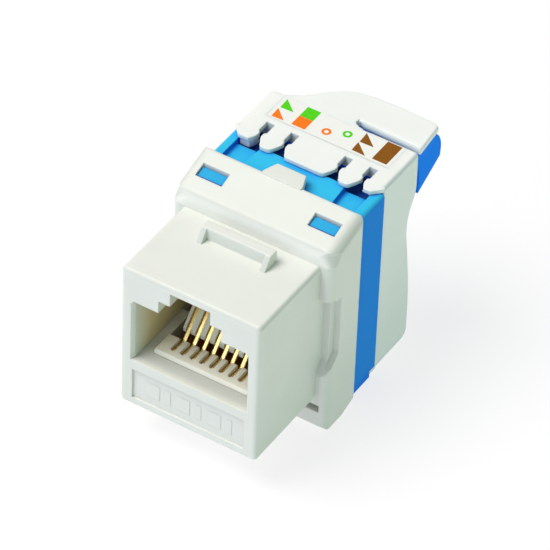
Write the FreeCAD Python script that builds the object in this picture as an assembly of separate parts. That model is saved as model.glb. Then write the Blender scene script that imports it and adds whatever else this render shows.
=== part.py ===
import FreeCAD, Part
import os
import math

V = FreeCAD.Vector

# ---------------------------------------------------------------------------
# Tool-less RJ45 keystone jack, 180 degree entry.  Millimetres.
# Working axes: X across the jack, Y from the nose's front face to the rear,
# Z up, with Z = 0 half way up the nose.  Every piece is moved at the end by
# (0, -Y_MID, Z_BASE), so the part stands on Z = 0, centred in X and Y.
# ---------------------------------------------------------------------------

# nose that fills the panel opening
NOSE_HW = 7.25          # half width
NOSE_HZ = 8.04          # half height
COLLAR_Y0 = 9.85        # front face of the collar
COLLAR_Y1 = 14.93       # rear edge of the collar
COLLAR_HW = 8.50
COLLAR_TOP_F = 9.55     # height of the collar's top at its front
COLLAR_TOP_R = 11.15    # and at its rear
BASE_Z = -11.60         # underside of collar and terminal housing
COLLAR_WALL = 1.15

# plug opening
PORT_HW = 5.95
PORT_TOP = 4.56
PORT_FLOOR = -2.52
KEY1_HW, KEY1_TOP = 3.29, 5.94
KEY2_HW, KEY2_TOP = 2.10, 7.40
PLATE_HW, PLATE_Z0, PLATE_Z1, PLATE_D = 5.95, -7.06, -3.62, 0.22

# fixed panel rib on top of the nose
RIB_HW, RIB_Y0, RIB_Y1, RIB_TOP = 3.60, 7.28, 8.35, 9.30
RIB_GUSSET_Y0, RIB_GUSSET_T = 6.38, 0.55

# latch below the nose
LATCH_HW = 4.60
LATCH_PIVOT = (2.50, -8.62)     # y, z of the moulded flexure's centre
LATCH_GAP_Z0, LATCH_GAP_Z1, LATCH_GAP_HW = -9.46, -8.04, 7.72

# snap windows in the collar
WIN_X0, WIN_X1, WIN_Y0, WIN_Y1 = 4.50, 7.30, 11.85, 13.25

# contacts
PITCH = 1.02
WIRE = 0.40
SLOT_W = 0.52
FLEX_Y, FLEX_Z = 12.40, 3.00    # contact's bending point at the board

# terminal housing
BLUE_HW, BLUE_TOP, BLUE_Y1 = 7.95, 10.10, 19.30
BLUE_BASE_Y1 = 16.60
SHELF_Y1, PLATEAU_Y1 = 18.20, 18.36
RECESS_Z = 9.55
SIDE_WALL = 1.00

# terminals
TERM_X = (-5.27, -2.66, 3.02, 5.63)
TERM_Z = 7.00
TERM_T = 0.40
TERM_W = 2.10
TERM_Y1 = 20.20

# circuit board
PCB_Y0, PCB_Y1 = 12.70, 13.70

# wiring cap
CAP_HW, CAP_TOP, CAP_BASE = 7.85, 10.60, -11.55
CAP_Y0 = 19.36
CAP_WALL = 0.95
CAP_PLATE = 1.20        # thickness of top and bottom plates
FINGER_Y0 = 17.95
CORNER_FINGER_Y0 = 18.35
SLOT_Y1 = 21.20          # rear wall of the wire slots
THIN = 0.55             # plate thickness over the wire slots
HOOD_Z0 = 10.00

# cable clamp
CLAMP_Y, CLAMP_Z, CLAMP_R = 24.30, 8.42, 0.50
CLAMP_HW = 6.60
LEVER_X0, LEVER_X1 = -3.40, 7.40
LEVER_TOP = 9.88

# printed wiring labels
LABEL_X0, LABEL_X1, LABEL_Y0, LABEL_Y1, LABEL_T = -6.25, 6.60, 21.95, 25.05, 0.15

Y_MID = 15.05
Z_BASE = 11.60


def bx(x0, x1, y0, y1, z0, z1):
    return Part.makeBox(x1 - x0, y1 - y0, z1 - z0, V(x0, y0, z0))


def prism_x(pts, x0, x1):
    """Polygon of (y, z) points carried from x0 to x1."""
    w = Part.makePolygon([V(x0, p[0], p[1]) for p in pts] + [V(x0, pts[0][0], pts[0][1])])
    return Part.Face(w).extrude(V(x1 - x0, 0, 0))


def prism_z(pts, z0, z1):
    """Polygon of (x, y) points carried from z0 to z1."""
    w = Part.makePolygon([V(p[0], p[1], z0) for p in pts] + [V(pts[0][0], pts[0][1], z0)])
    return Part.Face(w).extrude(V(0, 0, z1 - z0))


def prism_y(pts, y0, y1):
    """Polygon of (x, z) points carried from y0 to y1."""
    w = Part.makePolygon([V(p[0], y0, p[1]) for p in pts] + [V(pts[0][0], y0, pts[0][1])])
    return Part.Face(w).extrude(V(0, y1 - y0, 0))


def cyl_x(y, z, r, x0, x1):
    return Part.makeCylinder(r, x1 - x0, V(x0, y, z), V(1, 0, 0))


def cyl_z(x, y, r, z0, z1):
    return Part.makeCylinder(r, z1 - z0, V(x, y, z0), V(0, 0, 1))


def round_edges(shape, radius, pick):
    """Round the edges that pick(midpoint, direction, edge) chooses, with the
    largest radius up to the one asked for that leaves a valid solid."""
    chosen = []
    for e in shape.Edges:
        a, b = e.FirstParameter, e.LastParameter
        m = e.valueAt((a + b) / 2.0)
        d = e.tangentAt((a + b) / 2.0)
        if pick(m, d, e):
            chosen.append(e)
    if not chosen:
        return shape
    for k in (1.0, 0.8, 0.6, 0.4):
        try:
            s = shape.makeFillet(radius * k, chosen)
            if s.isValid() and s.Volume > 0 and len(s.Solids) == 1:
                return s.Solids[0]
        except Exception:
            pass
    print("round_edges: left sharp, radius", radius, "edges", len(chosen))
    return shape


def rounded_prism(pts, radii, along):
    """Closed line of 3-D points with a radius at each corner (0 = sharp),
    carried by the vector along."""
    n = len(pts)
    ends = []
    for i in range(n):
        p, r = pts[i], radii[i]
        u = (p - pts[i - 1]).normalize()
        w = (pts[(i + 1) % n] - p).normalize()
        if r <= 0:
            ends.append((p, None, p))
            continue
        turn = u.getAngle(w)
        tl = r * math.tan(turn / 2.0)
        a, b = p - u * tl, p + w * tl
        mid = (w - u).normalize()
        m = p + mid * (r / math.cos(turn / 2.0) - r)
        ends.append((a, m, b))
    es = []
    for i in range(n):
        a, m, b = ends[i]
        if m is not None:
            es.append(Part.Arc(a, m, b).toShape())
        c = ends[(i + 1) % n][0]
        if (c - b).Length > 1e-6:
            es.append(Part.LineSegment(b, c).toShape())
    return Part.Face(Part.Wire(es)).extrude(along)


def ribbon_x(pts, radii, t, x0, x1):
    """Strip of thickness t that follows a line of (y, z) points with rounded
    corners, carried from x0 to x1."""
    def side(s):
        d = s * t / 2.0
        edges = []
        prev = None
        n = len(pts)
        dirs = []
        for i in range(n - 1):
            dy = pts[i + 1][0] - pts[i][0]
            dz = pts[i + 1][1] - pts[i][1]
            l = math.hypot(dy, dz)
            dirs.append((dy / l, dz / l))
        def off(p, u):
            return (p[0] - u[1] * d, p[1] + u[0] * d)
        start = off(pts[0], dirs[0])
        cur = start
        for i in range(1, n - 1):
            u, w = dirs[i - 1], dirs[i]
            turn = math.atan2(u[0] * w[1] - u[1] * w[0], u[0] * w[0] + u[1] * w[1])
            r = radii[i - 1]
            tl = r * math.tan(abs(turn) / 2.0)
            p = pts[i]
            a = (p[0] - u[0] * tl, p[1] - u[1] * tl)
            b = (p[0] + w[0] * tl, p[1] + w[1] * tl)
            sg = 1.0 if turn > 0 else -1.0
            c = (a[0] - u[1] * r * sg, a[1] + u[0] * r * sg)
            ao, bo = off(a, u), off(b, w)
            ra = r - sg * d
            h = (math.atan2(ao[1] - c[1], ao[0] - c[0]) + turn / 2.0)
            mo = (c[0] + ra * math.cos(h), c[1] + ra * math.sin(h))
            edges.append(("l", cur, ao))
            edges.append(("a", ao, mo, bo))
            cur = bo
        end = off(pts[-1], dirs[-1])
        edges.append(("l", cur, end))
        return start, end, edges
    s1, e1, A = side(1)
    s2, e2, B = side(-1)
    def P(q):
        return V(x0, q[0], q[1])
    es = []
    for e in A + B + [("l", s1, s2), ("l", e1, e2)]:
        if e[0] == "l":
            es.append(Part.LineSegment(P(e[1]), P(e[2])).toShape())
        else:
            es.append(Part.Arc(P(e[1]), P(e[2]), P(e[3])).toShape())
    w = Part.Wire(Part.__sortEdges__(es))
    return Part.Face(w).extrude(V(x1 - x0, 0, 0))


nodes = {}

# ---------------------------------------------------------------------------
# front housing: nose, collar, plug opening, rib and snap windows
# ---------------------------------------------------------------------------
nose = bx(-NOSE_HW, NOSE_HW, 0, COLLAR_Y0 + 0.6, -NOSE_HZ, NOSE_HZ)
nose = round_edges(nose, 0.42, lambda m, d, e: m.y < 5.5 and (abs(d.y) > 0.9 or m.y < 0.01) and (abs(d.y) > 0.9 or True))

side = [(COLLAR_Y0, -11.12), (10.35, BASE_Z), (14.50, BASE_Z), (COLLAR_Y1, -10.60), (COLLAR_Y1, COLLAR_TOP_R), (COLLAR_Y0, COLLAR_TOP_F)]
collar = rounded_prism([V(-COLLAR_HW, p[0], p[1]) for p in side], [0, 0, 0, 0, 0.30, 0.95], V(2 * COLLAR_HW, 0, 0))
plan = [(-COLLAR_HW, COLLAR_Y0), (COLLAR_HW, COLLAR_Y0), (COLLAR_HW, COLLAR_Y1), (-COLLAR_HW, COLLAR_Y1)]
collar = collar.common(rounded_prism([V(p[0], p[1], -12) for p in plan], [0.90, 0.90, 0.28, 0.28], V(0, 0, 24)))
slope = (COLLAR_TOP_R - COLLAR_TOP_F) / (COLLAR_Y1 - COLLAR_Y0)
face = [(-COLLAR_HW, -12.5), (COLLAR_HW, -12.5), (COLLAR_HW, COLLAR_TOP_F), (-COLLAR_HW, COLLAR_TOP_F)]
collar = collar.common(rounded_prism([V(p[0], COLLAR_Y0, p[1]) for p in face], [0, 0, 1.10, 1.10], V(0, COLLAR_Y1 - COLLAR_Y0, COLLAR_TOP_R - COLLAR_TOP_F)))
def corner_wire(s, r, z):
    """Plan of one front corner of the collar, rounded by r, at height z."""
    q = math.sqrt(0.5)
    a, b = V(s * 6.5, COLLAR_Y0 + 2.2, z), V(s * 6.5, COLLAR_Y0, z)
    c, d = V(s * (COLLAR_HW - r), COLLAR_Y0, z), V(s * COLLAR_HW, COLLAR_Y0 + r, z)
    m = V(s * (COLLAR_HW - r + r * q), COLLAR_Y0 + r - r * q, z)
    e = V(s * COLLAR_HW, COLLAR_Y0 + 2.2, z)
    return Part.Wire([Part.LineSegment(a, b).toShape(), Part.LineSegment(b, c).toShape(), Part.Arc(c, m, d).toShape(),
                      Part.LineSegment(d, e).toShape(), Part.LineSegment(e, a).toShape()])


for s in (-1, 1):
    # above the nose the front corners are rounder still
    x0, x1 = sorted((s * 6.5, s * 9.0))
    keep = Part.makeLoft([corner_wire(s, 0.90, 8.20), corner_wire(s, 1.90, 9.20)], True, True)
    keep = keep.fuse(Part.Face(corner_wire(s, 1.90, 9.20)).extrude(V(0, 0, 3.5)))
    collar = collar.cut(bx(x0, x1, COLLAR_Y0 - 1, COLLAR_Y0 + 1.95, 8.20, 12).cut(keep))
    # and below the shoulder they stand back in two steps
    x0, x1 = sorted((s * 7.25, s * 9.0))
    collar = collar.cut(prism_x([(COLLAR_Y0 - 1, 4.10), (10.75, 4.10), (10.75, -3.55), (COLLAR_Y0, -5.00), (COLLAR_Y0 - 1, -6.60)], x0, x1))
    x0, x1 = sorted((s * 7.93, s * 9.0))
    collar = collar.cut(prism_x([(COLLAR_Y0 - 1, 3.90), (11.60, 3.90), (11.60, -2.90), (10.75, -3.90), (COLLAR_Y0 - 1, -5.60)], x0, x1))
tab = prism_z([(-2.05, COLLAR_Y1 - 0.4), (2.05, COLLAR_Y1 - 0.4), (2.05, COLLAR_Y1), (1.45, 16.50), (-1.45, 16.50), (-2.05, COLLAR_Y1)],
              BLUE_TOP + 0.10, COLLAR_TOP_R)
tab = round_edges(tab, 0.25, lambda m, d, e: m.y > 16.0 and (abs(d.z) > 0.9 or m.z > 11.0))
front = nose.fuse(collar).fuse(tab)
# rib with a gusset at each end
rib = bx(-RIB_HW, RIB_HW, RIB_Y0, RIB_Y1, NOSE_HZ - 0.5, RIB_TOP)
for s in (-1, 1):
    x0, x1 = sorted((s * RIB_HW, s * (RIB_HW - RIB_GUSSET_T)))
    rib = rib.fuse(prism_x([(RIB_GUSSET_Y0, NOSE_HZ - 0.5), (RIB_GUSSET_Y0, NOSE_HZ), (RIB_Y0 - 0.02, RIB_TOP - 0.06),
                            (RIB_Y0 + 0.3, RIB_TOP - 0.06), (RIB_Y0 + 0.3, NOSE_HZ - 0.5)], x0, x1))
rib = rib.removeSplitter()
rib = round_edges(rib, 0.16, lambda m, d, e: m.z > RIB_TOP - 0.02 and abs(d.x) > 0.9)
front = front.fuse(rib)
# plug opening with its stepped keyway
port = bx(-PORT_HW, PORT_HW, -1, 12, PORT_FLOOR, PORT_TOP)
port = port.fuse(bx(-KEY1_HW, KEY1_HW, -1, 12, 0, KEY1_TOP)).fuse(bx(-KEY2_HW, KEY2_HW, -1, 12, 0, KEY2_TOP))
front = front.cut(port)
# lead-in chamfer round the opening's sides and floor
for s in (-1, 1):
    front = front.cut(prism_z([(s * (PORT_HW - 0.1), -0.1), (s * (PORT_HW + 0.28), -0.1), (s * (PORT_HW + 0.22), 0.0), (s * PORT_HW, 0.45), (s * (PORT_HW - 0.1), 0.45)],
                              PORT_FLOOR, PORT_TOP - 0.25))
# pocket for the contact carrier, open to the rear
front = front.cut(bx(-5.00, 5.00, 1.86, 12, -5.60, PORT_FLOOR + 0.2))
front = front.cut(bx(-PORT_HW, PORT_HW, 8.2, 12, -5.60, PORT_FLOOR + 0.2))
# hollow of the collar, open to the rear
front = front.cut(bx(-6.60, 6.60, COLLAR_Y0 + COLLAR_WALL, 16, -10.25, 9.15))
front = front.cut(bx(-7.32, 7.32, 11.45, 16, -10.25, 9.15))
front = front.cut(bx(-6.7, 6.7, 13.4, 14.93, 9.1, 9.45))
# gap below the nose for the latch
front = front.cut(bx(-4.95, 4.95, COLLAR_Y0 - 0.3, 11.5, LATCH_GAP_Z0, LATCH_GAP_Z1))
front = front.cut(bx(-LATCH_GAP_HW, LATCH_GAP_HW, COLLAR_Y0 - 0.3, 11.5, LATCH_GAP_Z0, LATCH_GAP_Z1 - 0.60))
# snap windows, two above and two below
for s in (-1, 1):
    x0, x1 = sorted((s * WIN_X0, s * WIN_X1))
    front = front.cut(bx(x0, x1, WIN_Y0, WIN_Y1, 8.5, 12))
    front = front.cut(bx(x0, x1, WIN_Y0, WIN_Y1, -12, -9.8))
# shallow name field below the opening, with plain raised bars
front = front.cut(bx(-PLATE_HW, PLATE_HW, -1, PLATE_D, PLATE_Z0, PLATE_Z1))
for x0, w in ((-4.6, 1.5), (-2.5, 0.55), (-1.4, 1.5), (0.75, 0.55), (1.9, 1.5), (4.0, 0.55)):
    front = front.fuse(bx(x0, x0 + w, PLATE_D - 0.03, PLATE_D + 0.05, -6.25, -4.55))
front = front.removeSplitter()
# root block that carries the latch flexure
front = front.fuse(bx(-LATCH_HW, LATCH_HW, 1.30, 2.20, -9.05, -NOSE_HZ + 0.1))
nodes["front_housing"] = front.removeSplitter()

# ---------------------------------------------------------------------------
# keystone latch: sprung arm under the nose, with a panel tooth
# ---------------------------------------------------------------------------
ly, lz = LATCH_PIVOT
latch = prism_x([(2.30, -9.00), (2.30, -8.32), (3.2, -8.54), (7.0, -8.76), (11.35, -8.80), (11.35, -9.36), (8.35, -9.36),
                 (8.35, -10.35), (7.75, -10.40), (4.6, -9.40), (3.2, -9.10)], -LATCH_HW, LATCH_HW)
latch = round_edges(latch, 0.18, lambda m, d, e: abs(d.x) > 0.9 and (m.y > 11 or m.z < -10.2))
# finger relief on the tooth's underside
latch = latch.cut(bx(-2.6, 2.6, 4.0, 8.1, -10.6, -9.55))
nodes["keystone_latch"] = latch

# ---------------------------------------------------------------------------
# contact carrier (front comb) and contact guide (rear comb)
# ---------------------------------------------------------------------------
wx = [(-3.5 + i) * PITCH for i in range(8)]
COMB_TOP = PORT_FLOOR + 0.30
carrier = prism_x([(1.90, -5.58), (4.60, -5.58), (4.60, COMB_TOP), (2.16, COMB_TOP), (1.90, PORT_FLOOR)], -4.95, 4.95).fuse(bx(-4.95, 4.95, 1.90, 10.40, -5.58, -4.70))
carrier = carrier.removeSplitter()
for x in wx:
    s = bx(x - SLOT_W / 2, x + SLOT_W / 2, 3.05, 4.7, -4.45, -1.9).fuse(
        Part.makeCylinder(SLOT_W / 2, 2.60, V(x, 3.05, -4.45), V(0, 0, 1)))
    carrier = carrier.cut(s)
carrier = round_edges(carrier, 0.22, lambda m, d, e: abs(d.x) > 0.9 and abs(m.y - 4.60) < 0.02 and abs(m.z - COMB_TOP) < 0.02)
nodes["contact_carrier"] = carrier

SLOPE = 1.06
def wire_z(y):
    return -2.75 + SLOPE * (y - 5.0)

guide = bx(-5.90, 5.90, 10.45, 12.60, -5.58, 4.50)
for i in range(9):
    xa = (-4.10 if i == 0 else wx[i - 1] + SLOT_W / 2)
    xb = (4.10 if i == 8 else wx[i] - SLOT_W / 2)
    fin = prism_x([(5.45, wire_z(5.45) + 0.62), (5.45, wire_z(5.45) + 0.12), (6.8, -3.1), (10.6, -3.1), (10.6, 3.75), (9.95, 3.75), (9.4, wire_z(9.4) + 0.62)], xa, xb)
    guide = guide.fuse(fin)
for x in wx:
    guide = guide.cut(bx(x - SLOT_W / 2, x + SLOT_W / 2, 10.2, 12.7, 2.05, 3.32))
# riser that closes the rear of the keyway
guide = guide.fuse(bx(-3.60, 3.60, 11.10, 12.15, 4.2, 8.10))
nodes["contact_guide"] = guide.removeSplitter()

# ---------------------------------------------------------------------------
# eight sprung contacts
# ---------------------------------------------------------------------------
for i, x in enumerate(wx):
    y_top = 5.0 + (FLEX_Z + 2.75) / SLOPE
    c = ribbon_x([(12.58, FLEX_Z), (y_top, FLEX_Z), (4.85, wire_z(4.85)), (3.20, -2.80)], [0.8, 0.30], WIRE, x - WIRE / 2, x + WIRE / 2)
    nodes["contact_%d" % (i + 1)] = c

# ---------------------------------------------------------------------------
# circuit board with slots for the terminals
# ---------------------------------------------------------------------------
pcb = bx(-6.55, 6.55, PCB_Y0, PCB_Y1, -8.35, 8.35)
for x in TERM_X:
    for tz in (-TERM_Z, TERM_Z):
        pcb = pcb.cut(bx(x - 0.36, x + 0.36, PCB_Y0 - 1, PCB_Y1 + 1, tz - 0.26, tz + 0.26))
nodes["circuit_board"] = pcb

# ---------------------------------------------------------------------------
# terminal housing: base plate, rim, shelf, spigot with snap tabs
# ---------------------------------------------------------------------------
blue = bx(-BLUE_HW, BLUE_HW, COLLAR_Y1, BLUE_BASE_Y1, BASE_Z, BLUE_TOP)
for s in (-1, 1):
    x0, x1 = sorted((s * BLUE_HW, s * (BLUE_HW - SIDE_WALL)))
    blue = blue.fuse(bx(x0, x1, COLLAR_Y1, BLUE_Y1, -10.90, BLUE_TOP))
    blue = blue.fuse(bx(x0, x1, COLLAR_Y1, 18.40, BASE_Z, -10.5))
# raised shelf above, shelf below
blue = blue.fuse(prism_z([(-4.75, COLLAR_Y1), (4.75, COLLAR_Y1), (4.45, PLATEAU_Y1), (-4.45, PLATEAU_Y1)], 9.00, BLUE_TOP))
blue = blue.fuse(bx(-BLUE_HW, BLUE_HW, COLLAR_Y1, SHELF_Y1, 8.60, RECESS_Z))
blue = blue.fuse(bx(-BLUE_HW, BLUE_HW, COLLAR_Y1, 18.40, BASE_Z, -10.40))
blue = blue.removeSplitter()
for s in (-1, 1):
    blue = blue.cut(prism_z([(s * (BLUE_HW - SIDE_WALL), COLLAR_Y1 - 1), (s * 4.80, COLLAR_Y1 - 1), (s * 4.75, COLLAR_Y1), (s * 4.45, PLATEAU_Y1), (s * 4.45, PLATEAU_Y1 + 1),
                             (s * (BLUE_HW - SIDE_WALL), PLATEAU_Y1 + 1)], RECESS_Z, BLUE_TOP + 1))
blue = round_edges(blue, 0.45, lambda m, d, e: abs(abs(m.x) - BLUE_HW) < 0.02 and abs(d.y) > 0.9 and m.z > 9)
# spigot that enters the collar, with tabs in the windows
spig = bx(-7.22, 7.22, 13.95, COLLAR_Y1 + 0.3, -10.15, 9.05)
spig = spig.cut(bx(-6.70, 6.70, 12.0, COLLAR_Y1 - 0.6, -9.2, 8.9 - 0.5))
blue = blue.fuse(spig)
for s in (-1, 1):
    x0, x1 = sorted((s * (WIN_X0 + 0.10), s * (WIN_X1 - 0.10)))
    blue = blue.fuse(bx(x0, x1, 11.98, 14.4, 8.55, 9.05))
    blue = blue.fuse(prism_x([(11.98, 9.0), (12.08, 10.05), (13.10, 10.30), (13.10, 9.0)], x0, x1))
    blue = blue.fuse(bx(x0, x1, 12.45, 14.4, -10.15, -9.60))
    blue = blue.fuse(prism_x([(12.5, -10.1), (12.7, -10.85), (13.10, -11.05), (13.10, -10.1)], x0, x1))
# slots for the terminals
for x in TERM_X:
    for tz in (-TERM_Z, TERM_Z):
        blue = blue.cut(bx(x - TERM_W / 2 - 0.03, x + TERM_W / 2 + 0.03, 13.0, 18.5, tz - TERM_T / 2 - 0.03, tz + TERM_T / 2 + 0.03))
nodes["terminal_housing"] = blue.removeSplitter()

# rows of towers that hold the terminals' blades, with a ledge under the wire slots
for s, name in ((1, "terminal_row_top"), (-1, "terminal_row_bottom")):
    z0, z1 = sorted((s * 6.05, s * 8.55))
    row = bx(-6.75, 6.75, BLUE_BASE_Y1, 19.90, z0, z1)
    za, zb = sorted((s * 8.55, s * 9.00))
    row = row.fuse(bx(-6.75, 6.75, 18.44, 21.30, za, zb))
    for x in TERM_X:
        row = row.cut(bx(x - 0.44, x + 0.44, 17.30, 20.0, z0 - 0.1, z1 + 0.1).cut(bx(-7, 7, 16, 22, za, zb)))
        row = row.cut(bx(x - 0.44, x + 0.44, 19.60, 21.4, za - 0.1, zb + 0.1))
        row = row.cut(bx(x - TERM_W / 2 - 0.03, x + TERM_W / 2 + 0.03, 16.0, 20.3, s * TERM_Z - TERM_T / 2 - 0.03, s * TERM_Z + TERM_T / 2 + 0.03))
    nodes[name] = row.removeSplitter()

# ---------------------------------------------------------------------------
# eight insulation-displacement terminals
# ---------------------------------------------------------------------------
k = 0
for tz in (TERM_Z, -TERM_Z):
    for x in TERM_X:
        k += 1
        h = TERM_W / 2
        t = prism_z([(x - 0.30, 12.30), (x + 0.30, 12.30), (x + 0.30, 14.20), (x + h, 14.20), (x + h, TERM_Y1 - 0.5), (x + h - 0.35, TERM_Y1),
                     (x + 0.42, TERM_Y1), (x + 0.15, TERM_Y1 - 0.55), (x + 0.15, 17.3), (x - 0.15, 17.3), (x - 0.15, TERM_Y1 - 0.55),
                     (x - 0.42, TERM_Y1), (x - h + 0.35, TERM_Y1), (x - h, TERM_Y1 - 0.5), (x - h, 14.20), (x - 0.30, 14.20)],
                    tz - TERM_T / 2, tz + TERM_T / 2)
        nodes["terminal_%d" % k] = t

# ---------------------------------------------------------------------------
# wiring cap
# ---------------------------------------------------------------------------
def pv(y, z, x=-CAP_HW):
    return V(x, y, z)

s_pts = [(25.46, 8.60), (25.48, 7.40), (25.33, 5.90), (24.80, 4.85), (24.36, 3.90), (24.18, 2.80), (24.20, 1.60), (24.40, 0.30),
         (24.70, -1.80), (25.00, -3.90), (25.16, -5.90), (25.24, -8.00), (25.24, -9.60)]
sp = Part.BSplineCurve()
sp.interpolate([pv(*p) for p in s_pts])
rear_low = [(25.24, -9.60), (25.24, -10.45)]
edges = [Part.LineSegment(pv(CAP_Y0, CAP_BASE), pv(CAP_Y0, CAP_TOP)).toShape(),
         Part.LineSegment(pv(CAP_Y0, CAP_TOP), pv(25.40, CAP_TOP)).toShape(),
         Part.LineSegment(pv(25.40, CAP_TOP), pv(25.46, 8.60)).toShape(),
         sp.toShape(),
         Part.LineSegment(pv(25.24, -9.60), pv(25.24, -10.45)).toShape(),
         Part.Arc(pv(25.24, -10.45), pv(24.92, -11.23), pv(24.14, CAP_BASE)).toShape(),
         Part.LineSegment(pv(24.14, CAP_BASE), pv(CAP_Y0, CAP_BASE)).toShape()]
cap = Part.Face(Part.Wire(Part.__sortEdges__(edges))).extrude(V(2 * CAP_HW, 0, 0))
cap = round_edges(cap, 0.40, lambda m, d, e: abs(abs(m.x) - CAP_HW) < 0.02 and m.y > 23.9 and m.z < 10.5)
cap = round_edges(cap, 0.42, lambda m, d, e: abs(m.z - CAP_TOP) < 0.02 and abs(m.x) > 7.3 and m.y > 20)
# wire chamber, open to the front
IN_HW = CAP_HW - CAP_WALL
cap = cap.cut(bx(-IN_HW, IN_HW, CAP_Y0 - 1, 23.05, CAP_BASE + CAP_PLATE, CAP_TOP - CAP_PLATE))
# thinner plates over the wire slots
for z0, z1 in ((CAP_TOP - CAP_PLATE - 0.1, CAP_TOP - THIN), (CAP_BASE + THIN, CAP_BASE + CAP_PLATE + 0.1)):
    cap = cap.cut(bx(-6.05, 6.41, CAP_Y0 - 1, SLOT_Y1, z0, z1))
# wider end of the slot between the plate and the sprung arm
cap = cap.cut(prism_z([(0.98, 25.32), (1.25, 25.14), (2.75, 25.14), (3.40, 25.60), (0.98, 25.60)], CAP_TOP - CAP_PLATE - 0.1, CAP_TOP + 1))
# rear opening for the cable, and the clamp's bay above it
cap = cap.cut(bx(-4.60, 4.60, 22.5, 27, -4.70, 6.0))
cap = cap.cut(bx(-IN_HW, IN_HW, 22.5, 27, 4.00, CAP_TOP - CAP_PLATE))
for s in (-1, 1):
    x0, x1 = sorted((s * 4.60, s * IN_HW))
    cap = cap.cut(prism_x([(22.9, 4.2), (22.9, 1.2), (27, 1.2), (27, 4.2)], x0, x1))
# throat floor slopes down to the rear
cap = cap.cut(prism_x([(23.0, -4.6), (26.0, -5.6), (26.0, -4.6)], -4.60, 4.60))
# hood plate over the clamp: sprung arm, free at its right-hand end
hood = [(-7.60, 23.60), (-7.60, 24.60), (-6.36, 25.23), (-5.20, 25.96), (-4.25, 27.00), (-3.30, 28.02), (-2.25, 28.88), (-1.15, 29.42),
        (1.00, 29.76), (3.50, 29.80), (7.05, 29.66), (7.40, 29.40), (7.74, 25.72), (1.75, 25.92), (1.20, 26.08), (0.86, 25.84), (1.10, 25.50), (1.6, 25.28), (2.0, 25.2), (2.0, 23.60)]
hood_s = prism_z(hood, HOOD_Z0, CAP_TOP)
# the sprung arm's front edge is well rounded
tool = bx(-0.78, 6.4, -0.3, 0.45, -0.45, 0.3).cut(cyl_x(0.45, -0.45, 0.45, -1.0, 6.5))
tool.rotate(V(0, 0, 0), V(0, 0, 1), -1.91)
tool.translate(V(1.75, 25.92, CAP_TOP))
hood_s = hood_s.cut(tool)
hood_s = round_edges(hood_s, 0.18, lambda m, d, e: m.z > CAP_TOP - 0.02 and m.y > 26.60)
cap = cap.fuse(hood_s)
# fingers over the terminal housing
outline = [(-CAP_HW + 0.02, 19.55), (-CAP_HW + 0.02, 19.30), (-6.97, CORNER_FINGER_Y0), (TERM_X[0], CORNER_FINGER_Y0), (TERM_X[0], FINGER_Y0), (TERM_X[3], FINGER_Y0),
           (TERM_X[3], CORNER_FINGER_Y0), (6.97, CORNER_FINGER_Y0), (CAP_HW - 0.02, 19.30), (CAP_HW - 0.02, 19.55)]
cap = cap.fuse(prism_z(outline, BLUE_TOP + 0.08, CAP_TOP))
# below the plate the corner fingers start behind the shelf
for x0, x1, y0 in ((-IN_HW + 0.1, -5.55, 18.46), (6.41, IN_HW - 0.1, 19.00)):
    cap = cap.fuse(bx(x0, x1, y0, CAP_Y0 + 0.3, CAP_TOP - CAP_PLATE, CAP_TOP - 0.30))
    cap = cap.fuse(bx(x0, x1, 18.50, CAP_Y0 + 0.3, CAP_BASE, CAP_BASE + CAP_PLATE))
cap = cap.fuse(bx(-IN_HW + 0.1, IN_HW - 0.1, 18.50, CAP_Y0 + 0.3, CAP_BASE, CAP_BASE + THIN))
for s in (-1, 1):
    x0, x1 = sorted((s * (IN_HW - 0.2), s * (CAP_HW - 0.05)))
    cap = cap.fuse(bx(x0, x1, 18.50, CAP_Y0 + 0.3, CAP_BASE, -11.00))
# guide tongues inside the terminal housing's walls
for s in (-1, 1):
    x0, x1 = sorted((s * 6.10, s * 6.85))
    cap = cap.fuse(bx(x0, x1, 16.85, 20.6, -4.2, 4.2))
    x0, x1 = sorted((s * 6.10, s * 7.10))
    cap = cap.fuse(bx(x0, x1, 19.50, 20.6, -4.2, 4.2))
cap = cap.removeSplitter()
# wire slots: flared mouth, throat and pocket with a flat rear wall
for x in TERM_X:
    half = [(1.08, 17.4), (1.04, 17.96), (0.87, 18.01), (0.73, 18.13), (0.34, 18.85), (0.21, 19.20), (0.21, 19.62), (0.43, 19.86), (0.43, SLOT_Y1)]
    cut = prism_z([(x - w, y) for w, y in half] + [(x + w, y) for w, y in reversed(half)], -13, 12)
    mid = bx(x - 2, x + 2, 16, 23, CAP_BASE + CAP_PLATE + 0.01, CAP_TOP - CAP_PLATE - 0.01)
    cap = cap.cut(cut.cut(mid))
# trunnion sockets for the clamp
for s in (-1, 1):
    x0, x1 = sorted((s * (IN_HW - 0.3), s * (CAP_HW - 0.28)))
    cap = cap.cut(cyl_x(CLAMP_Y, CLAMP_Z, CLAMP_R + 0.05, x0, x1))
# label recesses
cap = cap.cut(bx(LABEL_X0, LABEL_X1, LABEL_Y0 - 0.008, LABEL_Y1 + 0.008, CAP_TOP - LABEL_T, CAP_TOP + 1))
cap = cap.cut(bx(-6.44, 6.44, 21.72, 24.04, CAP_BASE - 1, CAP_BASE + LABEL_T))
nodes["wiring_cap"] = cap.removeSplitter()
nodes["label_top"] = bx(LABEL_X0, LABEL_X1, LABEL_Y0, LABEL_Y1, CAP_TOP - LABEL_T, CAP_TOP)
nodes["label_bottom"] = bx(-6.40, 6.40, 21.76, 24.00, CAP_BASE + 0.01, CAP_BASE + LABEL_T)

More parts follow.
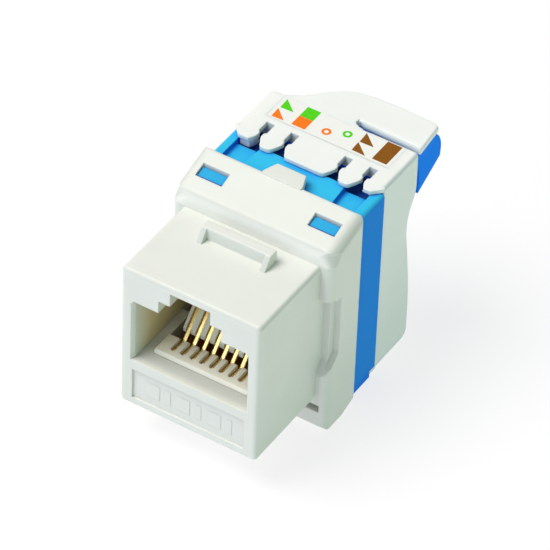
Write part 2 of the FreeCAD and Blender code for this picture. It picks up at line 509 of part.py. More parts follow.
# ---------------------------------------------------------------------------
# cable clamp: hinged lever with a toothed, sloping jaw
# ---------------------------------------------------------------------------
neck = prism_x([(CLAMP_Y, CLAMP_Z + 0.85), (25.30, CLAMP_Z + 0.85), (25.30, 5.2), (24.85, 4.25), (24.15, 4.55), (23.62, 6.2), (23.50, CLAMP_Z)], -CLAMP_HW, CLAMP_HW)
neck = neck.fuse(cyl_x(CLAMP_Y, CLAMP_Z, 0.85, -CLAMP_HW, CLAMP_HW))
lever_in = prism_x([(24.9, CLAMP_Z + 0.85), (25.95, CLAMP_Z + 0.85), (25.95, LEVER_TOP), (27.2, LEVER_TOP), (27.2, 5.28), (24.85, 4.25), (24.4, 5.0)], -3.40, 6.60)
arc = Part.Arc(V(LEVER_X0, 29.15, LEVER_TOP), V(LEVER_X0, 29.83, 8.95), V(LEVER_X0, 30.10, 7.80)).toShape()
es = [Part.LineSegment(V(LEVER_X0, 25.95, LEVER_TOP), V(LEVER_X0, 29.15, LEVER_TOP)).toShape(), arc,
      Part.LineSegment(V(LEVER_X0, 30.10, 7.80), V(LEVER_X0, 30.02, 6.78)).toShape(),
      Part.LineSegment(V(LEVER_X0, 30.02, 6.78), V(LEVER_X0, 26.30, 4.81)).toShape(),
      Part.LineSegment(V(LEVER_X0, 26.30, 4.81), V(LEVER_X0, 26.42, 6.00)).toShape(),
      Part.LineSegment(V(LEVER_X0, 26.42, 6.00), V(LEVER_X0, 26.32, 7.00)).toShape(),
      Part.LineSegment(V(LEVER_X0, 26.32, 7.00), V(LEVER_X0, 25.95, 8.75)).toShape(),
      Part.LineSegment(V(LEVER_X0, 25.95, 8.75), V(LEVER_X0, 25.95, LEVER_TOP)).toShape()]
lever = Part.Face(Part.Wire(Part.__sortEdges__(es))).extrude(V(LEVER_X1 - LEVER_X0, 0, 0))
lever = round_edges(lever, 0.25, lambda m, d, e: abs(m.x - LEVER_X1) < 0.02 and m.y > 27.5)
clamp = neck.fuse(lever_in).fuse(lever)
clamp = clamp.cut(prism_z([(-4.0, 26.70), (-3.30, 26.70), (0.30, 30.3), (-4.0, 30.3)], 3, 12))
# cable groove and grip teeth across the jaw
clamp = clamp.removeSplitter()
for j in range(5):
    y = 25.45 + 0.72 * j
    z = 4.88 + (y - 26.45) * 0.53
    clamp = clamp.cut(prism_x([(y - 0.24, z - 0.45), (y - 0.24, z - 0.13 * 0 + 0.10), (y + 0.02, z + 0.42), (y + 0.26, z + 0.20), (y + 0.30, z - 0.4)], -2.6, 2.6))
for s in (-1, 1):
    x0, x1 = sorted((s * (CLAMP_HW - 0.1), s * (CAP_HW - 0.36)))
    clamp = clamp.fuse(cyl_x(CLAMP_Y, CLAMP_Z, CLAMP_R, x0, x1))
# relief in the lever's top below the end of the hood's slot
clamp = clamp.cut(bx(-0.80, 2.60, 26.15, 28.00, 8.50, LEVER_TOP + 0.2))
nodes["cable_clamp"] = clamp.removeSplitter()

# ---------------------------------------------------------------------------
os.makedirs("parts", exist_ok=True)
lo = [1e9] * 3
hi = [-1e9] * 3
for name in sorted(nodes):
    s = nodes[name].copy()
    s.translate(V(0, -Y_MID, Z_BASE))
    ok = s.isValid()
    n = len(s.Solids)
    if n == 1 and s.ShapeType != "Solid":
        s = s.Solids[0]
    b = s.BoundBox
    lo = [min(lo[0], b.XMin), min(lo[1], b.YMin), min(lo[2], b.ZMin)]
    hi = [max(hi[0], b.XMax), max(hi[1], b.YMax), max(hi[2], b.ZMax)]
    s.exportStep("parts/%s.step" % name)
    print("%-18s valid %s solids %d volume %.3f  box %.2f %.2f %.2f  %.2f %.2f %.2f" % (
        name, ok, n, s.Volume, b.XMin, b.YMin, b.ZMin, b.XMax, b.YMax, b.ZMax))
print("nodes", len(nodes), "box", [round(v, 3) for v in lo], [round(v, 3) for v in hi])
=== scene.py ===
"""Looks of a tool-less RJ45 keystone jack: moulded plastics, gold contacts, printed wiring labels, soft studio light."""

import math

import bmesh
import bpy
from mathutils import Matrix, Vector


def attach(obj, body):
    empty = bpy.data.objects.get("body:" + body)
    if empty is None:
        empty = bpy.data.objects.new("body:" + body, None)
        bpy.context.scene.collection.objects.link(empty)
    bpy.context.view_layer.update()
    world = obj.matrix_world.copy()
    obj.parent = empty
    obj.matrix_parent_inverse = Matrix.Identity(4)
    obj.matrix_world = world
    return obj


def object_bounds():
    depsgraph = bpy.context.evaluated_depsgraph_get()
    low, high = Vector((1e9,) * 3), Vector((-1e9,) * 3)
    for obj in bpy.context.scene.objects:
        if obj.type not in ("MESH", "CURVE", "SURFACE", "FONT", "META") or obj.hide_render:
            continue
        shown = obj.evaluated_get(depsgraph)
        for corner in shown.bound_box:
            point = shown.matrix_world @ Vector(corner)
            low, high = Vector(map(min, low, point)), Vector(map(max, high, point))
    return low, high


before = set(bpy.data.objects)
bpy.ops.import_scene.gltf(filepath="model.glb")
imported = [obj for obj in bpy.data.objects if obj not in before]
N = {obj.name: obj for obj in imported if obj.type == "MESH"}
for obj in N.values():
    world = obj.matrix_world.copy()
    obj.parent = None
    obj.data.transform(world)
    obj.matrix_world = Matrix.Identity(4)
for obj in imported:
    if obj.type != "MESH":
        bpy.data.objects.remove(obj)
cad_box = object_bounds()
MM = 0.001

# working axes of the part: Y from the nose's front face, Z from half way up the nose, in mm
Y_MID, Z_BASE = 15.05, 11.60


def P(x, y, z):
    """A point in nose millimetres as a place in the row frame, in metres."""
    return Vector((x * MM, (y - Y_MID) * MM, (z + Z_BASE) * MM))


# ---------------------------------------------------------------------------
# node helpers
# ---------------------------------------------------------------------------
class Tree:
    def __init__(self, name):
        self.m = bpy.data.materials.new(name)
        self.m.use_nodes = True
        self.nt = self.m.node_tree
        self.nt.nodes.clear()
        self.out = self.nt.nodes.new("ShaderNodeOutputMaterial")
        self.bsdf = self.nt.nodes.new("ShaderNodeBsdfPrincipled")
        self.nt.links.new(self.bsdf.outputs["BSDF"], self.out.inputs["Surface"])
        self.co = self.nt.nodes.new("ShaderNodeTexCoord").outputs["Object"]

    def node(self, kind, **props):
        n = self.nt.nodes.new(kind)
        for k, v in props.items():
            setattr(n, k, v)
        return n

    def link(self, a, b):
        self.nt.links.new(a, b)

    def noise(self, scale, detail=3.0, rough=0.55, distortion=0.0, co=None):
        n = self.node("ShaderNodeTexNoise")
        n.inputs["Scale"].default_value = scale
        n.inputs["Detail"].default_value = detail
        n.inputs["Roughness"].default_value = rough
        n.inputs["Distortion"].default_value = distortion
        self.link(co or self.co, n.inputs["Vector"])
        return n.outputs["Fac"]

    def voronoi(self, scale, feature="F1", randomness=1.0):
        n = self.node("ShaderNodeTexVoronoi", feature=feature)
        n.inputs["Scale"].default_value = scale
        n.inputs["Randomness"].default_value = randomness
        self.link(self.co, n.inputs["Vector"])
        return n.outputs["Distance"]

    def ramp(self, fac, stops):
        n = self.node("ShaderNodeValToRGB")
        el = n.color_ramp.elements
        while len(el) < len(stops):
            el.new(0.5)
        for e, (p, c) in zip(el, stops):
            e.position = p
            e.color = (*c, 1.0) if len(c) == 3 else c
        self.link(fac, n.inputs["Fac"])
        return n.outputs["Color"]

    def span(self, fac, lo, hi, a=0.0, b=1.0):
        n = self.node("ShaderNodeMapRange")
        n.inputs["From Min"].default_value = a
        n.inputs["From Max"].default_value = b
        n.inputs["To Min"].default_value = lo
        n.inputs["To Max"].default_value = hi
        self.link(fac, n.inputs["Value"])
        return n.outputs["Result"]

    def math(self, op, a, b):
        n = self.node("ShaderNodeMath", operation=op)
        for i, v in enumerate((a, b)):
            if isinstance(v, (int, float)):
                n.inputs[i].default_value = v
            else:
                self.link(v, n.inputs[i])
        return n.outputs[0]

    def mix(self, fac, a, b, blend="MIX"):
        n = self.node("ShaderNodeMix", data_type="RGBA", blend_type=blend)
        if isinstance(fac, (int, float)):
            n.inputs[0].default_value = fac
        else:
            self.link(fac, n.inputs[0])
        for i, v in ((6, a), (7, b)):
            if isinstance(v, (tuple, list)):
                n.inputs[i].default_value = (*v, 1.0)
            else:
                self.link(v, n.inputs[i])
        return n.outputs[2]

    def bump(self, height, strength, distance, normal=None):
        n = self.node("ShaderNodeBump")
        n.inputs["Strength"].default_value = strength
        n.inputs["Distance"].default_value = distance
        self.link(height, n.inputs["Height"])
        if normal is not None:
            self.link(normal, n.inputs["Normal"])
        return n.outputs["Normal"]

    def bevel(self, radius, samples=6):
        """Normal of the surface as if its edges had this radius."""
        b = self.node("ShaderNodeBevel", samples=samples)
        b.inputs["Radius"].default_value = radius
        return b.outputs["Normal"]

    def edge_mask(self, rounded):
        """1 along sharp outer and inner edges, 0 on flats: the rounded normal against the face's own."""
        g = self.node("ShaderNodeNewGeometry")
        d = self.node("ShaderNodeVectorMath", operation="DOT_PRODUCT")
        self.link(rounded, d.inputs[0])
        self.link(g.outputs["Normal"], d.inputs[1])
        return self.span(d.outputs["Value"], 0.0, 1.0, 0.995, 0.90)

    def crevice(self, distance, samples=8):
        n = self.node("ShaderNodeAmbientOcclusion", samples=samples)
        n.inputs["Distance"].default_value = distance
        return n.outputs["AO"]

    def set(self, **values):
        names = {"rough": "Roughness", "metal": "Metallic", "spec": "Specular IOR Level", "ior": "IOR", "sss": "Subsurface Weight",
                 "sss_scale": "Subsurface Scale", "sss_radius": "Subsurface Radius", "coat": "Coat Weight", "coat_rough": "Coat Roughness",
                 "sheen": "Sheen Weight", "aniso": "Anisotropic", "base": "Base Color"}
        for k, v in values.items():
            s = self.bsdf.inputs[names[k]]
            if isinstance(v, bpy.types.NodeSocket):
                self.link(v, s)
            elif k == "base":
                s.default_value = (*v, 1.0)
            else:
                s.default_value = v


def moulded(name, light, dark, crevice_shade_tone, rough=(0.34, 0.46), grain=0.10, mottle=260.0, sss=0.0, sss_radius=(1, 0.9, 0.8), sss_scale=0.0006,
            edge_highlight=(1, 1, 1), edge_highlight_amount=0.10, crevice_shade_amount=0.35, crevice_shade_distance=0.0011, side=None, side_amount=0.0, soft=0.00012, spec=0.5,
            socket_shade=None, pit_shade=None, flank_shade=None, face=None, slope_shade=None, tab_shade=None):
    """Injection-moulded plastic: slow colour drift, faint pigment flecks, spark-eroded grain, polished edges with a
    painted highlight, and painted shade in the corners.
    """
    t = Tree(name)
    drift = t.noise(mottle, 4.0, 0.6)
    col = t.ramp(drift, [(0.32, dark), (0.68, light)])
    shine = spec
    if side is not None:
        # painted shade: faces turned away from the top shift toward the darker side tone and lose specular
        g = t.node("ShaderNodeNewGeometry")
        sx = t.node("ShaderNodeSeparateXYZ")
        t.link(g.outputs["Normal"], sx.inputs[0])
        up = t.span(sx.outputs["Z"], side_amount, 0.0, 0.15, 0.85)
        col = t.mix(up, col, side)
        shine = t.span(sx.outputs["Z"], 0.01, spec, 0.15, 0.85)
    if flank_shade is not None:
        # painted shade: tuned tones of the upright faces, by direction, for how the light falls on them
        g = t.node("ShaderNodeNewGeometry")
        sx = t.node("ShaderNodeSeparateXYZ")
        t.link(g.outputs["Normal"], sx.inputs[0])
        for axis, tone in (("X", flank_shade), ("Y", face)):
            m = t.span(t.math("ABSOLUTE", sx.outputs[axis], 0.0), 0.0, 1.0, 0.35, 0.95)
            col = t.mix(m, col, t.mix(1.0, col, tone, "MULTIPLY"))
            if axis == "X":
                # painted shade: the flanks darker towards the bottom; tuned: the flanks
                # a shade darker towards the bottom
                zz = t.node("ShaderNodeSeparateXYZ")
                t.link(t.co, zz.inputs[0])
                low_flank_shade = t.span(zz.outputs["Z"], 0.55, 0.0, 0.004, 0.0135)
                col = t.mix(t.math("MULTIPLY", m, low_flank_shade), col, t.mix(1.0, col, (0.78, 0.84, 0.83), "MULTIPLY"))
    if slope_shade is not None:
        # painted shade: the rounded edges below the top greyer and less glossy, in place of the highlight they
        # catch; tuned: the rounded edges below the top a shade greyer and less glossy
        g = t.node("ShaderNodeNewGeometry")
        sx = t.node("ShaderNodeSeparateXYZ")
        t.link(g.outputs["Normal"], sx.inputs[0])
        slope_shade_mask = t.math("MULTIPLY", t.span(sx.outputs["Z"], 1.0, 0.0, 0.80, 0.992), t.span(sx.outputs["Z"], 0.0, 1.0, 0.10, 0.40))
        hz = t.node("ShaderNodeSeparateXYZ")
        t.link(t.co, hz.inputs[0])
        slope_shade_mask = t.math("MULTIPLY", slope_shade_mask, t.span(hz.outputs["Z"], 0.0, 1.0, (7.2 + Z_BASE) * MM, (7.6 + Z_BASE) * MM))
        col = t.mix(slope_shade_mask, col, t.mix(1.0, col, slope_shade, "MULTIPLY"))
        shine = t.math("MULTIPLY", t.span(slope_shade_mask, 1.0, 0.25), shine)
    fleck = t.noise(4200.0, 2.0, 0.5)
    col = t.mix(t.span(fleck, 0.0, 0.10, 0.62, 0.74), col, dark)
    # painted shade: corners and recesses darkened toward the crevice tone by ambient occlusion
    ao = t.crevice(crevice_shade_distance)
    col = t.mix(t.span(ao, crevice_shade_amount, 0.0, 0.25, 0.95), col, crevice_shade_tone)
    rounded = t.bevel(soft)
    em = t.edge_mask(rounded)
    # painted highlight: sharp edges shifted toward the edge tone, mostly lighter
    col = t.mix(t.math("MULTIPLY", em, edge_highlight_amount), col, edge_highlight)
    if socket_shade is not None:
        # painted shade: a warmer, darker tone on the plug opening's walls, deeper in;
        # tuned: a warmer tone on the plug opening's walls, deeper in
        xyz = t.node("ShaderNodeSeparateXYZ")
        t.link(t.co, xyz.inputs[0])
        deep = t.span(xyz.outputs["Y"], 0.0, 1.0, (0.5 - Y_MID) * MM, (3.2 - Y_MID) * MM)
        wide = t.span(t.math("ABSOLUTE", xyz.outputs["X"], 0.0), 1.0, 0.0, 6.05 * MM, 6.15 * MM)
        low = t.span(xyz.outputs["Z"], 0.0, 1.0, (-2.48 + Z_BASE) * MM, (-2.38 + Z_BASE) * MM)
        high = t.span(xyz.outputs["Z"], 1.0, 0.0, (7.45 + Z_BASE) * MM, (7.55 + Z_BASE) * MM)
        socket_shade_mask = t.math("MULTIPLY", t.math("MULTIPLY", deep, wide), t.math("MULTIPLY", low, high))
        col = t.mix(socket_shade_mask, col, t.mix(1.0, col, socket_shade, "MULTIPLY"))
        # painted shade: the floor of the plug opening darker and cooler, in from its front edge
        sill = t.span(xyz.outputs["Z"], 1.0, 0.0, (-2.48 + Z_BASE) * MM, (-2.38 + Z_BASE) * MM)
        start = t.span(xyz.outputs["Y"], 0.0, 1.0, (0.05 - Y_MID) * MM, (0.9 - Y_MID) * MM)
        bed = t.span(xyz.outputs["Z"], 0.0, 1.0, (-2.70 + Z_BASE) * MM, (-2.60 + Z_BASE) * MM)
        opening_floor_shade = t.math("MULTIPLY", t.math("MULTIPLY", sill, bed), t.math("MULTIPLY", start, wide))
        col = t.mix(opening_floor_shade, col, t.mix(1.0, col, (0.80, 0.82, 0.85), "MULTIPLY"))
        # painted light: the collar's front strip above the nose is lighter, standing in for light bounced off the nose
        # top; tuned: the collar's front strip above the nose is lighter
        g = t.node("ShaderNodeNewGeometry")
        sx = t.node("ShaderNodeSeparateXYZ")
        t.link(g.outputs["Normal"], sx.inputs[0])
        fore = t.span(sx.outputs["Y"], 1.0, 0.0, -0.75, -0.35)
        over = t.span(xyz.outputs["Z"], 0.0, 1.0, (8.00 + Z_BASE) * MM, (8.25 + Z_BASE) * MM)
        on = t.math("MULTIPLY", over, t.span(xyz.outputs["Y"], 0.0, 1.0, (7.6 - Y_MID) * MM, (7.9 - Y_MID) * MM))
        on = t.math("MULTIPLY", on, t.span(xyz.outputs["Y"], 1.0, 0.0, (9.6 - Y_MID) * MM, (10.2 - Y_MID) * MM))
        col = t.mix(t.math("MULTIPLY", t.math("MULTIPLY", fore, on), 0.9), col, (0.985, 0.985, 0.965))
    if pit_shade is not None:
        # painted shade: brown slots in the comb, and a painted dark space behind it
        xyz = t.node("ShaderNodeSeparateXYZ")
        t.link(t.co, xyz.inputs[0])
        back = t.span(xyz.outputs["Y"], 0.0, 1.0, (2.4 - Y_MID) * MM, (2.8 - Y_MID) * MM)
        sunk = t.span(xyz.outputs["Z"], 1.0, 0.0, (-3.05 + Z_BASE) * MM, (-2.45 + Z_BASE) * MM)
        col = t.mix(t.math("MULTIPLY", sunk, back), col, t.mix(1.0, col, (0.98, 0.72, 0.46), "MULTIPLY"))
        behind = t.span(xyz.outputs["Y"], 0.0, 1.0, (4.50 - Y_MID) * MM, (4.62 - Y_MID) * MM)
        sunk = t.span(xyz.outputs["Z"], 1.0, 0.0, (-2.80 + Z_BASE) * MM, (-2.45 + Z_BASE) * MM)
        col = t.mix(t.math("MULTIPLY", sunk, behind), col, t.mix(1.0, col, pit_shade, "MULTIPLY"))
    if tab_shade is not None:
        # painted shade: the snap tabs darker in their windows; tuned: the snap tabs a
        # shade darker in their windows
        ty = t.node("ShaderNodeSeparateXYZ")
        t.link(t.co, ty.inputs[0])
        col = t.mix(t.span(ty.outputs["Y"], 1.0, 0.0, (13.4 - Y_MID) * MM, (13.7 - Y_MID) * MM), col, t.mix(1.0, col, tab_shade, "MULTIPLY"))
    t.set(base=col)
    r = t.span(t.noise(900.0, 3.0, 0.6), rough[0], rough[1], 0.3, 0.7)
    r = t.math("SUBTRACT", r, t.math("MULTIPLY", em, 0.08))
    t.set(rough=r, spec=shine)
    fine = t.noise(9000.0, 2.0, 0.6)
    pits = t.voronoi(5200.0)
    h = t.math("ADD", t.math("MULTIPLY", fine, 0.6), t.math("MULTIPLY", pits, 0.4))
    n1 = t.bump(h, grain, 0.00002, rounded)
    n2 = t.bump(t.noise(330.0, 2.0, 0.5), 0.06, 0.00012, n1)
    t.link(n2, t.bsdf.inputs["Normal"])
    if sss:
        t.set(sss=sss, sss_scale=sss_scale)
        t.bsdf.inputs["Subsurface Radius"].default_value = sss_radius
    return t.m


def metal(name, light, dark, tarnish, rough=(0.14, 0.30), brush=(9000, 900, 9000), wear=0.35, core=None):
    """Plated strip: drawn lines along its length, small tarnish spots, and the bare alloy on its cut sides."""
    t = Tree(name)
    mp = t.node("ShaderNodeMapping")
    mp.inputs["Scale"].default_value = brush
    t.link(t.co, mp.inputs["Vector"])
    lines = t.noise(1.0, 4.0, 0.6, 0.0, mp.outputs["Vector"])
    col = t.ramp(lines, [(0.30, dark), (0.70, light)])
    blot = t.noise(1400.0, 4.0, 0.6, 0.6)
    col = t.mix(t.span(blot, 0.0, wear, 0.50, 0.75), col, tarnish)
    if core is not None:
        g = t.node("ShaderNodeNewGeometry")
        sx = t.node("ShaderNodeSeparateXYZ")
        t.link(g.outputs["True Normal"], sx.inputs[0])
        # painted reflection: warmer and darker where the strip rises under the nose's roof
        xyz = t.node("ShaderNodeSeparateXYZ")
        t.link(t.co, xyz.inputs[0])
        high = t.span(xyz.outputs["Z"], 0.0, 1.0, (-1.6 + Z_BASE) * MM, (1.6 + Z_BASE) * MM)
        col = t.mix(high, col, t.mix(1.0, col, (1.0, 0.74, 0.40), "MULTIPLY"))
        col = t.mix(t.span(t.math("ABSOLUTE", sx.outputs["X"], 0.0), 0.0, 1.0, 0.6, 0.8), col, core)
    rolled = None
    if core is not None:
        # drawn wire with rolled edges; painted shade: browner where the rolled edge turns to the left
        rolled = t.bevel(0.00016, 8)
        rx = t.node("ShaderNodeSeparateXYZ")
        t.link(rolled, rx.inputs[0])
        col = t.mix(t.span(rx.outputs["X"], 0.0, 1.0, -0.10, -0.50), col, t.mix(1.0, col, (0.74, 0.36, 0.08), "MULTIPLY"))
    t.set(base=col, metal=1.0)
    r = t.span(t.noise(2600.0, 3.0, 0.6), rough[0], rough[1], 0.3, 0.7)
    t.set(rough=r)
    t.link(t.bump(lines, 0.05 if rolled is not None else 0.12, 0.000006, rolled), t.bsdf.inputs["Normal"])
    return t.m


WHITE = moulded("abs_white", (0.800, 0.805, 0.765), (0.778, 0.785, 0.742), (0.50, 0.48, 0.40), sss=0.18, edge_highlight=(0.90, 0.90, 0.87),
                crevice_shade_amount=0.12, soft=0.00014, socket_shade=(1.0, 0.82, 0.52),
                flank_shade=(0.865, 0.940, 0.880), face=(0.94, 0.97, 1.0), slope_shade=(0.87, 0.87, 0.88))
CAPW = moulded("abs_cap_white", (0.905, 0.910, 0.890), (0.885, 0.890, 0.865), (0.20, 0.36, 0.58), sss=0.40, mottle=210.0,
               edge_highlight=(0.94, 0.94, 0.92), crevice_shade_amount=0.42, crevice_shade_distance=0.0012, soft=0.00012, flank_shade=(0.815, 0.920, 0.875), face=(0.95, 0.98, 1.0),
               slope_shade=(0.80, 0.83, 0.87))
BLUE = moulded("abs_blue", (0.037, 0.548, 0.860), (0.032, 0.515, 0.830), (0.004, 0.090, 0.820), rough=(0.34, 0.46), sss=0.05,
               sss_radius=(0.2, 0.6, 1.0), edge_highlight=(0.10, 0.70, 0.98), edge_highlight_amount=0.25, crevice_shade_amount=0.75, crevice_shade_distance=0.0016,
               side=(0.012, 0.222, 0.755), side_amount=0.92, soft=0.00010, spec=0.18, tab_shade=(0.74, 0.77, 0.86))
CLAMP = moulded("abs_clamp_blue", (0.038, 0.570, 0.920), (0.032, 0.535, 0.890), (0.004, 0.090, 0.820), rough=(0.34, 0.46), sss=0.05,
                sss_radius=(0.2, 0.6, 1.0), edge_highlight=(0.10, 0.70, 0.98), edge_highlight_amount=0.25, crevice_shade_amount=0.60, crevice_shade_distance=0.0012,
                side=(0.004, 0.230, 1.0), side_amount=0.96, soft=0.00012, spec=0.18)
NAVY = moulded("abs_navy", (0.014, 0.110, 0.520), (0.012, 0.095, 0.460), (0.004, 0.022, 0.160), rough=(0.40, 0.52), crevice_shade_amount=0.8, crevice_shade_distance=0.0016,
               edge_highlight=(0.02, 0.10, 0.36), soft=0.00008, spec=0.15)
CREAM = moulded("pbt_cream", (0.930, 0.930, 0.860), (0.890, 0.885, 0.805), (0.46, 0.30, 0.15), rough=(0.40, 0.52), sss=0.30,
                edge_highlight=(0.92, 0.90, 0.80), edge_highlight_amount=0.35, crevice_shade_amount=0.16, crevice_shade_distance=0.0008, soft=0.00008, pit_shade=(0.58, 0.30, 0.13))
GOLD = metal("gold_plated", (1.00, 0.84, 0.42), (1.00, 0.74, 0.28), (0.90, 0.50, 0.10), rough=(0.24, 0.32), brush=(2600, 120, 120), wear=0.03,
             core=(0.95, 0.60, 0.16))
TIN = metal("tin_plated", (0.78, 0.78, 0.76), (0.62, 0.62, 0.61), (0.36, 0.35, 0.33), rough=(0.26, 0.42))


def board_material():
    """Solder mask over a faint glass weave, with copper showing through as lighter tracks."""
    t = Tree("solder_mask")
    w1 = t.node("ShaderNodeTexWave", wave_type="BANDS", bands_direction="X")
    w2 = t.node("ShaderNodeTexWave", wave_type="BANDS", bands_direction="Z")
    for w in (w1, w2):
        w.inputs["Scale"].default_value = 900.0
        w.inputs["Distortion"].default_value = 0.6
        t.link(t.co, w.inputs["Vector"])
    weave = t.math("MULTIPLY", w1.outputs["Fac"], w2.outputs["Fac"])
    col = t.ramp(weave, [(0.0, (0.012, 0.110, 0.040)), (1.0, (0.020, 0.160, 0.060))])
    tracks = t.node("ShaderNodeTexBrick")
    tracks.inputs["Scale"].default_value = 320.0
    tracks.inputs["Mortar Size"].default_value = 0.05
    t.link(t.co, tracks.inputs["Vector"])
    col = t.mix(t.span(tracks.outputs["Fac"], 0.0, 0.7), col, (0.040, 0.240, 0.090))
    t.set(base=col, coat=0.4, coat_rough=0.18)
    t.set(rough=t.span(t.noise(1500.0), 0.30, 0.45, 0.3, 0.7))
    t.link(t.bump(weave, 0.15, 0.00001), t.bsdf.inputs["Normal"])
    return t.m


def label_material():
    """Coated paper: fine fibres over a smooth white."""
    t = Tree("label_paper")
    mp = t.node("ShaderNodeMapping")
    mp.inputs["Scale"].default_value = (2600, 7000, 7000)
    mp.inputs["Rotation"].default_value = (0.0, 0.0, 0.5)
    t.link(t.co, mp.inputs["Vector"])
    fibre = t.noise(1.0, 5.0, 0.7, 0.8, mp.outputs["Vector"])
    col = t.ramp(fibre, [(0.30, (0.850, 0.850, 0.815)), (0.70, (0.895, 0.895, 0.865))])
    t.set(base=col, spec=0.4)
    t.set(rough=t.span(fibre, 0.42, 0.56, 0.3, 0.7))
    t.link(t.bump(fibre, 0.18, 0.000012), t.bsdf.inputs["Normal"])
    return t.m


def ink(name, full, thin):
    """Screen-printed ink: slight mottle where the paper shows through, a little gloss."""
    t = Tree(name)
    spots = t.noise(5200.0, 4.0, 0.7)
    col = t.ramp(spots, [(0.28, thin), (0.46, full), (0.85, full)])
    t.set(base=col, spec=0.20)
    t.set(rough=t.span(t.noise(1800.0), 0.30, 0.46, 0.3, 0.7))
    t.link(t.bump(spots, 0.15, 0.00001), t.bsdf.inputs["Normal"])
    return t.m


BOARD = board_material()
PAPER = label_material()
INK_GREEN = ink("ink_green", (0.085, 0.640, 0.006), (0.150, 0.720, 0.040))
INK_ORANGE = ink("ink_orange", (0.950, 0.190, 0.006), (0.960, 0.270, 0.040))
INK_BROWN = ink("ink_brown", (0.250, 0.085, 0.004), (0.330, 0.130, 0.015))
INK_BLUE = ink("ink_blue", (0.015, 0.150, 0.640), (0.050, 0.230, 0.720))

finish_of = {"front_housing": WHITE, "keystone_latch": WHITE, "wiring_cap": CAPW, "terminal_housing": BLUE, "cable_clamp": CLAMP,
             "terminal_row_top": NAVY, "terminal_row_bottom": NAVY,
             "contact_carrier": CREAM, "contact_guide": CREAM, "circuit_board": BOARD, "label_top": PAPER, "label_bottom": PAPER}
for i in range(1, 9):
    finish_of["contact_%d" % i] = GOLD
    finish_of["terminal_%d" % i] = TIN

for name, o in N.items():
    o.data.materials.clear()
    o.data.materials.append(finish_of[name])
    o.data.shade_smooth()

# ---------------------------------------------------------------------------
# printed marks on the labels: thin prisms that ride with the cap
# ---------------------------------------------------------------------------


def prism(name, pts, z0, z1, mat, soft=0.05):
    """A thin plate from a polygon of (x, y) nose millimetres, with rounded corners."""
    bm = bmesh.new()
    area = sum(pts[i][0] * pts[(i + 1) % len(pts)][1] - pts[(i + 1) % len(pts)][0] * pts[i][1] for i in range(len(pts)))
    if area < 0:
        pts = pts[::-1]
    outline = []
    n = len(pts)
    for i in range(n):
        a, b, c = Vector(pts[i - 1]), Vector(pts[i]), Vector(pts[(i + 1) % n])
        u, v = (a - b).normalized(), (c - b).normalized()
        if soft and u.angle(v) < 2.9:
            s, e = b + u * soft, b + v * soft
            for k in range(4):
                t = k / 3.0
                outline.append((1 - t) ** 2 * s + 2 * t * (1 - t) * b + t * t * e)
        else:
            outline.append(b)
    low = [bm.verts.new(P(p[0], p[1], z0)) for p in outline]
    top = [bm.verts.new(P(p[0], p[1], z1)) for p in outline]
    bm.faces.new(top)
    bm.faces.new(low[::-1])
    m = len(outline)
    for i in range(m):
        j = (i + 1) % m
        bm.faces.new((low[i], low[j], top[j], top[i]))
    bmesh.ops.recalc_face_normals(bm, faces=bm.faces)
    me = bpy.data.meshes.new(name)
    bm.to_mesh(me)
    bm.free()
    me.materials.append(mat)
    o = bpy.data.objects.new(name, me)
    bpy.context.scene.collection.objects.link(o)
    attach(o, "cap")
    return o


def ring(name, cx, cy, r_out, r_in, z0, z1, mat, n=28):
    bm = bmesh.new()
    rows = []
    for r, z in ((r_out, z0), (r_out, z1), (r_in, z1), (r_in, z0)):
        rows.append([bm.verts.new(P(cx + r * math.cos(2 * math.pi * k / n), cy + r * math.sin(2 * math.pi * k / n), z)) for k in range(n)])
    for a in range(4):
        for k in range(n):
            bm.faces.new((rows[a][k], rows[a][(k + 1) % n], rows[(a + 1) % 4][(k + 1) % n], rows[(a + 1) % 4][k]))
    bmesh.ops.recalc_face_normals(bm, faces=bm.faces)
    me = bpy.data.meshes.new(name)
    bm.to_mesh(me)
    bm.free()
    me.materials.append(mat)
    o = bpy.data.objects.new(name, me)
    bpy.context.scene.collection.objects.link(o)
    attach(o, "cap")
    return o


ZT0, ZT1 = 10.592, 10.612
prism("mark_green_triangle", [(-5.87, 24.88), (-5.80, 23.56), (-4.43, 23.63)], ZT0, ZT1, INK_GREEN, 0.03)
prism("mark_orange_triangle", [(-5.88, 23.36), (-5.83, 22.10), (-4.57, 22.18)], ZT0, ZT1, INK_ORANGE, 0.03)
prism("mark_green_square", [(-3.74, 23.59), (-2.33, 23.59), (-2.33, 25.01), (-3.74, 25.01)], ZT0, ZT1, INK_GREEN, 0.03)
prism("mark_orange_square", [(-3.74, 22.16), (-2.33, 22.16), (-2.33, 23.57), (-3.74, 23.57)], ZT0, ZT1, INK_ORANGE, 0.03)
prism("mark_brown_triangle_rear", [(2.55, 24.95), (2.63, 23.56), (4.07, 23.62)], ZT0, ZT1, INK_BROWN, 0.03)
prism("mark_brown_triangle_front", [(2.57, 23.46), (2.63, 22.22), (4.04, 22.19)], ZT0, ZT1, INK_BROWN, 0.03)
prism("mark_brown_block", [(4.74, 22.24), (6.25, 22.24), (6.25, 25.03), (4.74, 25.03)], ZT0, ZT1, INK_BROWN, 0.04)
ring("mark_orange_ring", -0.56, 23.05, 0.46, 0.22, ZT0, ZT1, INK_ORANGE)
ring("mark_green_ring", 1.20, 23.83, 0.46, 0.22, ZT0, ZT1, INK_GREEN)

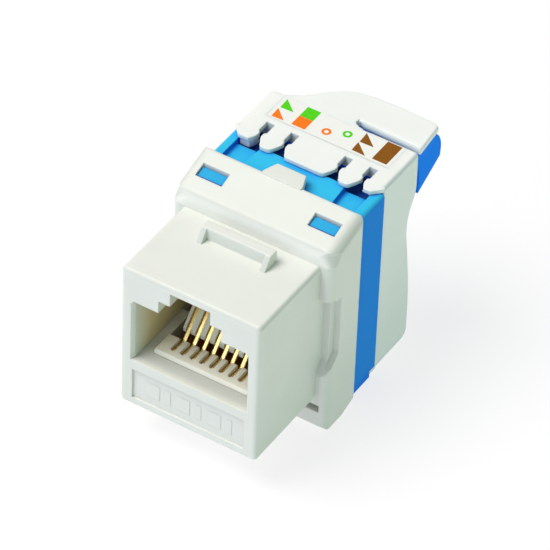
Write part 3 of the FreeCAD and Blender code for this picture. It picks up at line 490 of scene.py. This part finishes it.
ZB0, ZB1 = -11.552, -11.532
prism("mark_low_blue_triangle", [(-5.95, 22.05), (-5.95, 23.70), (-4.40, 22.10)], ZB0, ZB1, INK_BLUE, 0.03)
prism("mark_low_blue_square", [(-3.85, 22.05), (-2.35, 22.05), (-2.35, 23.70), (-3.85, 23.70)], ZB0, ZB1, INK_BLUE, 0.03)
prism("mark_low_green_triangle", [(2.35, 22.05), (2.35, 23.70), (3.90, 22.10)], ZB0, ZB1, INK_GREEN, 0.03)
prism("mark_low_green_square", [(4.45, 22.05), (5.95, 22.05), (5.95, 23.70), (4.45, 23.70)], ZB0, ZB1, INK_GREEN, 0.03)
ring("mark_low_orange_ring", -0.85, 22.88, 0.46, 0.22, ZB0, ZB1, INK_ORANGE)
ring("mark_low_green_ring", 0.85, 22.88, 0.46, 0.22, ZB0, ZB1, INK_GREEN)

# ---------------------------------------------------------------------------
# studio
# ---------------------------------------------------------------------------
scene = bpy.context.scene
world = bpy.data.worlds.new("studio")
world.use_nodes = True
world.node_tree.nodes["Background"].inputs[0].default_value = (0.93, 0.97, 1.0, 1.0)
world.node_tree.nodes["Background"].inputs[1].default_value = 0.36
scene.world = world
scene.view_settings.view_transform = "Standard"
scene.view_settings.look = "None"

t = Tree("studio_floor")
t.set(base=t.ramp(t.noise(6.0, 2.0), [(0.3, (0.24, 0.24, 0.24)), (0.7, (0.26, 0.26, 0.26))]), rough=0.85, spec=0.2)
t.bsdf.inputs["Emission Color"].default_value = (1.0, 1.0, 1.0, 1.0)
t.bsdf.inputs["Emission Strength"].default_value = 0.75
bm = bmesh.new()
bmesh.ops.create_grid(bm, x_segments=8, y_segments=8, size=3.0)
me = bpy.data.meshes.new("floor")
bm.to_mesh(me)
bm.free()
me.materials.append(t.m)
floor = bpy.data.objects.new("floor", me)
scene.collection.objects.link(floor)
floor.location = (0, 0, cad_box[0].z - 0.00001)


def lamp(name, where, energy, size, colour, aim=(0, 0, 0.011)):
    d = bpy.data.lights.new(name, "AREA")
    d.energy = energy
    d.shape = "DISK"
    d.size = size
    d.color = colour
    o = bpy.data.objects.new(name, d)
    scene.collection.objects.link(o)
    o.location = where
    o.rotation_euler = (Vector(where) - Vector(aim)).to_track_quat("Z", "Y").to_euler()
    return o


lamp("key", (-0.25, -0.20, 0.60), 3.68, 0.45, (1.0, 0.98, 0.93))
lamp("front_fill", (-0.15, -0.65, 0.25), 0.42, 0.45, (0.62, 0.94, 1.0))
lamp("contact_light", (-0.25, -0.48, 0.40), 0.16, 0.14, (1.0, 0.92, 0.78))
lamp("side_fill", (0.70, -0.10, 0.25), 0.46, 0.40, (0.46, 1.0, 0.50))

# ---------------------------------------------------------------------------
# camera: azimuth 31 degrees, elevation 42.3 degrees, long lens
# ---------------------------------------------------------------------------
AZ, EL, ROLL, FOCAL_PX, DIST = math.radians(31.00), math.radians(42.29), math.radians(2.31), 4797.0, 433.39
back = Vector((math.sin(AZ) * math.cos(EL), -math.cos(AZ) * math.cos(EL), math.sin(EL)))
right = (-back).cross(Vector((0, 0, 1))).normalized()
up = right.cross(-back)
r2 = math.cos(ROLL) * right + math.sin(ROLL) * up
u2 = -math.sin(ROLL) * right + math.cos(ROLL) * up
target = Vector((-0.50, -0.05, 10.86)) * MM
cam_data = bpy.data.cameras.new("camera")
cam_data.sensor_fit = "HORIZONTAL"
cam_data.sensor_width = 36.0
cam_data.lens = 36.0 * FOCAL_PX / 550.0
cam_data.clip_start = 0.01
cam_data.clip_end = 50.0
cam = bpy.data.objects.new("camera", cam_data)
scene.collection.objects.link(cam)
m = Matrix.Identity(4)
for i in range(3):
    m[i][0], m[i][1], m[i][2] = r2[i], u2[i], back[i]
    m[i][3] = target[i] + back[i] * DIST * MM
cam.matrix_world = m
scene.camera = cam
